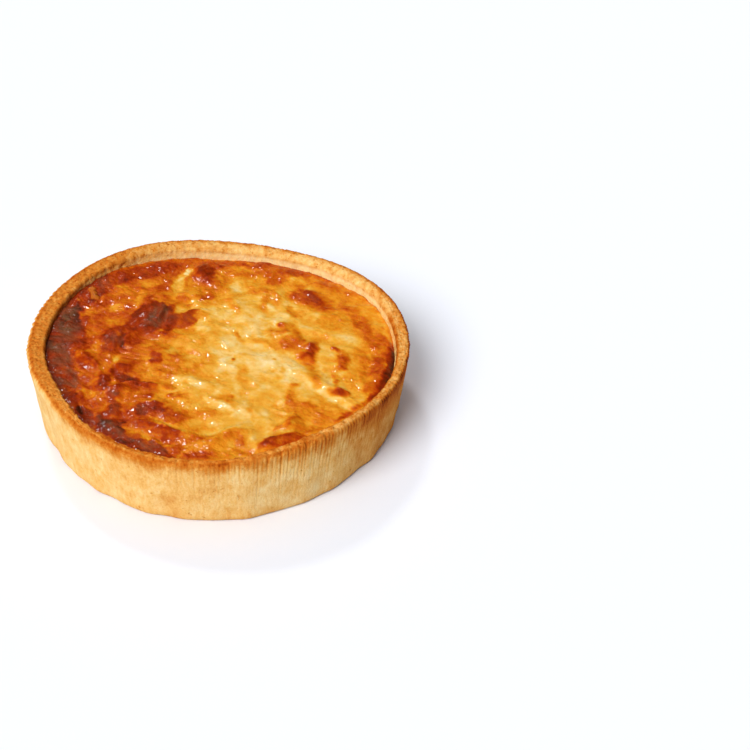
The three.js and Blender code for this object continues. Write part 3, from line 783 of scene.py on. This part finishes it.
def pastry_case(material):
    angle = angles(CASE_STEPS)
    hidden = angles(HIDDEN_STEPS)
    grooves = Grooves(angle)
    pleated = lerp(0.35, 1.0, between(angle, 262, 40, 14)) * (1 - 0.8 * near(angle, SMOOTH_SIDE, 34))
    plain = np.zeros(CASE_STEPS)
    coarse = 1 - 0.7 * between(angle, 20, 118, 14)
    profile = []
    for k in range(FOOT_RINGS):
        profile.append((*foot_ring(angle, k / FOOT_RINGS, grooves), 0.4 * pleated, plain))
    for k in range(WALL_RINGS + 1):
        share = k / WALL_RINGS
        profile.append((*wall_ring(angle, share, grooves), (0.4 + 0.6 * share) * pleated, plain))
    for k in range(1, RIM_RINGS):
        profile.append((*rim_ring(angle, k / RIM_RINGS, grooves), plain, plain + min(1, k / 5)))
    for k in range(INSIDE_RINGS + 1):
        profile.append((*inside_ring(angle, k / INSIDE_RINGS, grooves), plain, coarse))
    rings = [ring_points(hidden, outer_radius(hidden, 0) - FOOT_ROUNDING, 0.0)]
    rings += [ring_points(angle, radius, height) for radius, height, *_ in profile]
    corner = FLOOR_THICKNESS + CORNER_ROUNDING
    rings.append(ring_points(hidden, inner_radius(hidden, corner), corner))
    floor_radius = inner_radius(hidden, FLOOR_THICKNESS) - CORNER_ROUNDING
    rings.append(ring_points(hidden, floor_radius, FLOOR_THICKNESS))
    points, faces = loft(0.0, rings, FLOOR_THICKNESS)
    attributes = {}
    hidden_levels = {"toast": (0.4, 0.1), "pleated": (0, 0), "crumbly": (0, 1)}
    for column, (name, (underneath, inside)) in enumerate(hidden_levels.items(), 2):
        first = np.full(1 + HIDDEN_STEPS, underneath)
        last = np.full(1 + 2 * HIDDEN_STEPS, inside)
        attributes[name] = np.concatenate([first, *[ring[column] for ring in profile], last])
    return make_piece("baked_pastry_case", points, faces, attributes, material)


# The filling

def skin_relief(x, y, level, fold, shred, curl, wet):
    """The fine relief over the large folds, with the drops of fat that glisten on it."""
    browned = ease(0.25, 0.5, level)
    relief = 0.48 * fold + 0.16 * shred + lerp(0.03, 0.09, browned) * curl
    relief += ridges(x, y, WRINKLES) / 100
    lumps = fractal((x, y), 3, 62, 2)
    grain = noise((x, y), 1.2, 64)
    drops = noise((x, y), 0.95, 63)
    relief += browned * 0.22 * shrivels(x, y) + lerp(0.05, 0.14, browned) * lumps
    return relief + lerp(0.03, 0.08, browned) * grain + lerp(0.17, 0.12, browned) * drops * wet


def wetness(x, y):
    """Where fat glistens: 0 for dull, 1 for wet."""
    wet = strongest(x, y, WET_SPOTS, 0.5, 1.1)
    zone = ease(-0.45, 0.25, fractal((x, y), 7, 81, 2))
    specks = ease(0.02, 0.3, noise((x, y), 1, 82))
    return np.maximum(wet, zone * specks * ease(-62, -24, x))


def filling(material):
    hidden = angles(HIDDEN_STEPS)
    floor = FLOOR_THICKNESS + GAP
    corner = FLOOR_THICKNESS + CORNER_ROUNDING
    rings = [ring_points(hidden, inner_radius(hidden, floor) - GAP - CORNER_ROUNDING, floor)]
    rings.append(ring_points(hidden, inner_radius(hidden, corner) - GAP, corner))
    outer_count = int(TURN * RIM_RADIUS / SKIN_SPACING)
    ring_count = int(RIM_RADIUS / SKIN_SPACING)
    skin = []
    for k in range(ring_count):
        share = 1 - k / ring_count
        angle = angles(max(12, int(outer_count * share)))
        skin.append((angle, (inner_radius(angle, edge_height(angle)) + 0.15) * share))
    x, y = np.concatenate([on_circle(*ring) for ring in skin], 1)
    angle = np.arctan2(y, x)
    fold = folds(x, y)
    pale_shred = shreds(x, y, 90, 7)
    brown_shred = shreds(x, y, 90, 8)
    curl = curls(x, y)
    level = browning(x, y, fold, pale_shred, brown_shred, curl)
    wet = wetness(x, y) * (1 - 0.6 * ease(0.66, 0.84, level))
    flake = strongest(x, y, FALLEN_FLAKES, 0.75, 1.1, 0.7 * fractal((x, y), 1.3, 83))
    to_wall = inner_radius(angle, edge_height(angle)) - np.hypot(x, y)
    shrunken = between(angle, 318, 12, 10)
    groove = lerp(0.25, 1.5, shrunken) * bell(to_wall / lerp(0.5, 1.3, shrunken))
    level += 0.35 * shrunken * bell(to_wall / 0.9)
    shred = np.maximum(pale_shred, brown_shred)
    z = smooth_skin(x, y) + skin_relief(x, y, level, fold, shred, curl, wet) + 0.5 * flake - groove
    ends = np.cumsum([len(ring_angle) for ring_angle, _ in skin])
    rings += np.split(np.stack([x, y, z], 1), ends[:-1])
    points, faces = loft(floor, rings, float(z[-1]))
    hidden_values = np.zeros(1 + 2 * HIDDEN_STEPS)
    attributes = {}
    along, across = flow(x, y)
    uneven = ease(-0.6, 0.5, fractal((along, across), (7, 3.5), 84))
    # Over the browned parts, the films' grey-brown is partly a painted sheen.
    film = strongest(x, y, FILMS_AND_SHEEN, 0.4, 1.2) * ease(0.5, 0.75, level) * uneven
    for name, values in (("browning", level), ("wet", wet), ("film", film), ("flake", flake)):
        attributes[name] = np.concatenate([hidden_values, values, [values[-1]]])
    return make_piece("baked_filling", points, faces, attributes, material)


# Finishes

class Value:
    """A socket of a finish. An expression on values adds its Math nodes."""

    def __init__(self, finish, socket):
        self.finish = finish
        self.socket = socket

    def __add__(self, other):
        return self.finish.math("ADD", self, other)

    def __sub__(self, other):
        return self.finish.math("SUBTRACT", self, other)

    def __rsub__(self, other):
        return self.finish.math("SUBTRACT", other, self)

    def __mul__(self, other):
        return self.finish.math("MULTIPLY", self, other)

    __radd__ = __add__
    __rmul__ = __mul__


class Finish:
    """A material or a sky, and the nodes that work out what changes over it."""

    def __init__(self, owner, shader="Principled BSDF"):
        owner.use_nodes = True
        self.owner = owner
        self.tree = owner.node_tree
        self.shader = self.tree.nodes[shader]

    def node(self, kind, settings=None, inputs=None, output=0):
        """A node with its settings set first, then its sockets given values or links."""
        node = self.tree.nodes.new(kind)
        for name, value in (settings or {}).items():
            if name == "stops":
                fill_ramp(node.color_ramp, value)
            else:
                setattr(node, name, value)
        self.feed(node, inputs or {})
        return Value(self, node.outputs[output])

    def feed(self, node, inputs):
        for name, value in inputs.items():
            if isinstance(value, Value):
                self.tree.links.new(value.socket, node.inputs[name])
            else:
                node.inputs[name].default_value = value

    def surface(self, inputs):
        """The finished material or sky, with its shader's sockets given values or links."""
        self.feed(self.shader, inputs)
        return self.owner

    def math(self, operation, a, b):
        return self.node("ShaderNodeMath", {"operation": operation}, {0: a, 1: b})

    def attribute(self, name):
        return self.node("ShaderNodeAttribute", {"attribute_name": name}, output="Fac")

    def millimetres(self, stretch):
        """The place on the object in millimetres, stretched along each axis."""
        place = self.node("ShaderNodeTexCoord", output="Object")
        scale = [1 / MM / s for s in stretch]
        return self.node("ShaderNodeVectorMath", {"operation": "MULTIPLY"}, {0: place, 1: scale})

    def noise(self, size, detail=3, roughness=0.6, stretch=(1, 1, 1)):
        """-0.5 to 0.5: noise whose lumps are that many millimetres wide."""
        inputs = {"Scale": 1 / size, "Detail": detail, "Roughness": roughness}
        inputs["Vector"] = self.millimetres(stretch)
        return self.node("ShaderNodeTexNoise", inputs=inputs) - 0.5

    def step(self, value, low, high, start=0.0, end=1.0):
        """From the start value below low to the end value above high, and smooth between."""
        inputs = {"Value": value, "From Min": low, "From Max": high, "To Min": start, "To Max": end}
        return self.node("ShaderNodeMapRange", {"interpolation_type": "SMOOTHSTEP"}, inputs)

    def mix(self, share, start, end):
        """A blend of two colours, by the sockets that a Mix node has for them."""
        return self.node("ShaderNodeMix", {"data_type": "RGBA"}, {0: share, 6: start, 7: end}, 2)

    def ramp(self, value, stops):
        return self.node("ShaderNodeValToRGB", {"stops": stops}, {"Fac": value})

    def bump(self, height, depth):
        return self.node("ShaderNodeBump", inputs={"Height": height, "Distance": depth * MM})


def fill_ramp(ramp, stops):
    """Stops are a place from 0 to 1 and a colour as red, green and blue from 0 to 255."""
    while len(ramp.elements) < len(stops):
        ramp.elements.new(0.5)
    for element, (place, shade) in zip(ramp.elements, stops):
        element.position = place
        element.color = colour(*shade)


def colour(*levels):
    """Red, green and blue from 0 to 255 as a shader's colour."""
    return (*[linear(level / 255) for level in levels], 1)


def linear(value):
    return value / 12.92 if value <= 0.04045 else ((value + 0.055) / 1.055) ** 2.4


def pastry_finish():
    """Dry shortcrust: pale flour below, golden and toasted above, with grain, streaks and freckles."""
    finish = Finish(bpy.data.materials.new("baked_shortcrust"))
    pleated = finish.attribute("pleated")
    crumbly = finish.attribute("crumbly")
    mottle = finish.noise(7, 3, 0.5)
    fibre = finish.noise(0.8, 3, 0.5, (1, 1, 5))
    fleck = finish.noise(1.5, 3, 0.6, (1, 1, 2.2))
    grain = finish.noise(0.7)
    pore = finish.step(finish.noise(1.3, 1, 0.5), 0.2, 0.27)
    freckle = finish.step(finish.noise(1.1), 0.07, 0.2) * crumbly
    # The toasting read here also carries painted shade: on the right of the wall, at the rim's inner edge
    # and under the lip.
    toast = finish.attribute("toast") + 0.16 * mottle + 0.26 * fibre * pleated + 0.36 * fleck
    toast = toast + 0.28 * grain + 0.14 * pore + 0.2 * freckle
    colours = finish.ramp(toast, [
        (0.0, (240, 208, 146)), (0.22, (229, 178, 102)), (0.45, (206, 130, 48)),
        (0.65, (184, 94, 20)), (0.85, (148, 62, 9)), (1.0, (104, 42, 8)),
    ])
    relief = 0.5 * grain + 0.5 * fibre * pleated + 0.3 * fleck - 0.4 * pore - 0.2 * freckle
    return finish.surface({
        **FOOD,
        "Base Color": colours,
        "Roughness": 0.85,
        "Subsurface Weight": 0.12,
        "Normal": finish.bump(relief, 0.4),
    })


def cheese_finish():
    """Melted cheese: glossy, cream to orange, red-brown and charred where it caught."""
    finish = Finish(bpy.data.materials.new("browned_cheese_skin"))
    level = finish.attribute("browning")
    wet = finish.attribute("wet")
    film = finish.attribute("film")
    blotch = finish.noise(1.2)
    busy = finish.step(level, 0.15, 0.5)
    speck = finish.step(finish.noise(1.3, 1, 0.5), 0.25, 0.31)
    level = level + blotch * (0.05 + 0.07 * busy) + 0.12 * speck
    cheese = finish.ramp(level, [
        (0.00, (234, 208, 154)), (0.10, (230, 190, 110)), (0.22, (225, 164, 56)), (0.34, (217, 136, 24)),
        (0.47, (200, 103, 10)), (0.60, (180, 73, 5)), (0.72, (156, 49, 4)), (0.82, (134, 38, 4)),
        (0.92, (108, 32, 7)), (1.00, (78, 28, 10)),
    ])
    # The grey-brown mixed in over the films is partly a painted sheen on the charred skin.
    with_film_and_sheen = finish.mix(0.62 * film, cheese, colour(122, 84, 54))
    colours = finish.mix(0.8 * finish.attribute("flake"), with_film_and_sheen, colour(186, 104, 28))
    fine = finish.noise(1.0) * (0.25 + 0.75 * busy)
    return finish.surface({
        **FOOD,
        "Base Color": colours,
        "Roughness": 0.38,
        "Coat Weight": 0.9 * wet + 0.06,
        "Coat Roughness": 0.08,
        "Subsurface Weight": 0.5,
        "Normal": finish.bump(fine, 0.25),
    })


# The room

def white_floor():
    finish = Finish(bpy.data.materials.new("white_floor"))
    return finish.surface({"Base Color": FLOOR_WHITE, "Roughness": 0.9, "Specular IOR Level": 0.0})


def sky():
    """Pale overhead, dimmer towards the horizon, and not seen in gloss."""
    finish = Finish(bpy.data.worlds.new("sky"), "Background")
    place = finish.node("ShaderNodeTexCoord", output="Generated")
    upward = finish.node("ShaderNodeSeparateXYZ", inputs={0: place}, output="Z")
    brightness = finish.step(upward, 0.58, 1.0, SKY_AT_HORIZON, SKY_OVERHEAD)
    world = finish.surface({"Color": (1, 1, 1, 1), "Strength": brightness})
    world.cycles_visibility.glossy = False
    return world


def room():
    """A plain white floor under a soft sky, a broad lamp from the front left, and one behind for gloss."""
    bpy.ops.mesh.primitive_plane_add(size=8)
    floor = bpy.context.object
    floor.name = "floor"
    floor.data.materials.append(white_floor())
    bpy.context.scene.world = sky()
    add_sun("broad_lamp", 3.2, 34, (-0.49, -0.75, 0.86), glossy=False)
    add_sun("glint_lamp", 0.6, 8, (-0.26, 0.61, 0.74))


def add_sun(name, strength, width, place, glossy=True):
    """A lamp that fills that many degrees of the sky, seen in the direction of a place."""
    light = bpy.data.lights.new(name, "SUN")
    light.energy = strength
    light.angle = radians(width)
    lamp = add_object(name, light)
    lamp.location = place
    lamp.visible_glossy = glossy
    lamp.rotation_euler = lamp.location.to_track_quat("Z", "Y").to_euler()


def camera():
    """Seen from the front, from a little over half way up."""
    view = bpy.data.cameras.new("camera")
    view.sensor_width = 36
    view.lens = 105.6
    view.clip_start = 0.01
    watcher = add_object("camera", view)
    tilt = Matrix.Rotation(radians(90 - CAMERA_ELEVATION), 4, "X")
    roll = Matrix.Rotation(radians(CAMERA_ROLL), 4, "Z")
    watcher.matrix_world = Matrix.Translation(CAMERA_PLACE) @ tilt @ roll
    bpy.context.scene.camera = watcher


def main():
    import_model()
    bpy.context.scene.view_settings.view_transform = "Standard"
    camera()
    room()
    case = pastry_case(pastry_finish())
    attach(case, "root")
    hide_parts("pastry_case")
    skin = filling(cheese_finish())
    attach(skin, "root")
    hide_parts("filling")


main()
